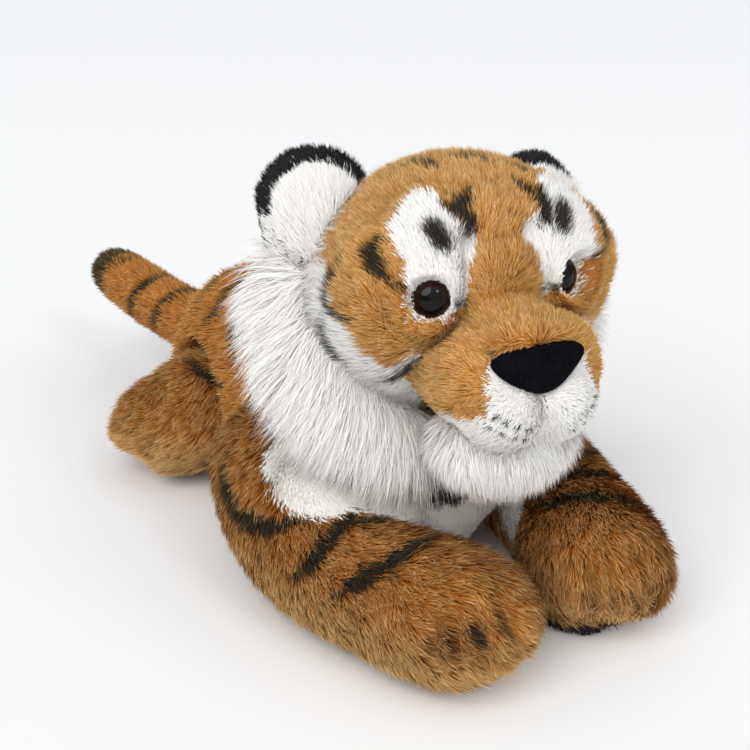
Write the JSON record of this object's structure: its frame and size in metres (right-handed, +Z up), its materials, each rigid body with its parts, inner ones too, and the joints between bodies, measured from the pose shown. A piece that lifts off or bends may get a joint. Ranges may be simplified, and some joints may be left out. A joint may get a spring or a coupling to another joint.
{
  "type": "plush tiger",
  "caption": "Stuffed plush tiger lying on its belly, with sewn head, legs and tail that bend at their seams, safety eyes and a long-pile ruff.",
  "frame": {"origin": "on the flat of the belly that rests on the floor, midway between the tiger's sides", "axes": "+Z up, -Y the way the tiger faces, +X to the tiger's left"},
  "size_m": [0.1821, 0.4192, 0.2025],
  "materials": {
    "orange_plush": "long-pile plush, matt",
    "white_plush": "long-pile plush, matt",
    "cream_plush": "short-pile plush, matt",
    "black_plush": "short-pile plush, matt",
    "black_velour": "velour, matt",
    "eye_plastic": "polished dome",
    "washer_plastic": "moulded, matt"
  },
  "bodies": {
    "torso_body": {"torso": "orange_plush", "chest_panel": "cream_plush"},
    "head_body": {"head": "orange_plush", "nose": "black_velour", "muzzle": "orange_plush", "whisker_pad_right": "white_plush", "whisker_pad_left": "white_plush", "chin_beard": "white_plush", "eye_right": "eye_plastic", "eye_left": "eye_plastic", "eye_washer_right": "washer_plastic", "eye_washer_left": "washer_plastic", "brow_patch_right": "white_plush", "brow_patch_left": "white_plush", "ear_front_right": "white_plush", "ear_front_left": "white_plush", "ear_back_right": "black_plush", "ear_back_left": "black_plush", "ruff_right": "white_plush", "ruff_left": "white_plush"},
    "foreleg_right_body": {"foreleg_right": "orange_plush", "fore_sole_right": "black_plush", "arm_panel_right": "cream_plush"},
    "foreleg_left_body": {"foreleg_left": "orange_plush", "fore_sole_left": "black_plush", "arm_panel_left": "cream_plush"},
    "hind_leg_right_body": {"hind_leg_right": "orange_plush", "hind_sole_right": "black_plush"},
    "hind_leg_left_body": {"hind_leg_left": "orange_plush", "hind_sole_left": "black_plush"},
    "tail_body": {"tail": "orange_plush"}
  },
  "joints": [
    {"name": "head_turn", "type": "hinge", "parent": "torso_body", "child": "head_body", "pos_m": [0, -0.05788, 0.09724], "axis": [0, -0.4305, 0.9026], "range_deg": [-21, 37], "stiffness_Nm_per_rad": 0.12},
    {"name": "foreleg_right_spread", "type": "hinge", "parent": "torso_body", "child": "foreleg_right_body", "pos_m": [-0.05, -0.024, 0.048], "axis": [0, 0, -1], "range_deg": [0, 28], "stiffness_Nm_per_rad": 0.08},
    {"name": "foreleg_left_spread", "type": "hinge", "parent": "torso_body", "child": "foreleg_left_body", "pos_m": [0.05, -0.024, 0.048], "axis": [0, 0, 1], "range_deg": [0, 28], "stiffness_Nm_per_rad": 0.08},
    {"name": "hind_leg_right_swing", "type": "hinge", "parent": "torso_body", "child": "hind_leg_right_body", "pos_m": [-0.04, 0.066, 0.042], "axis": [0, 0, 1], "range_deg": [0, 20], "stiffness_Nm_per_rad": 0.05},
    {"name": "hind_leg_left_swing", "type": "hinge", "parent": "torso_body", "child": "hind_leg_left_body", "pos_m": [0.04, 0.066, 0.042], "axis": [0, 0, -1], "range_deg": [0, 20], "stiffness_Nm_per_rad": 0.05},
    {"name": "tail_swing", "type": "hinge", "parent": "torso_body", "child": "tail_body", "pos_m": [0, 0.114, 0.051], "axis": [0, 0, 1], "range_deg": [-20, 20], "stiffness_Nm_per_rad": 0.02}
  ]
}
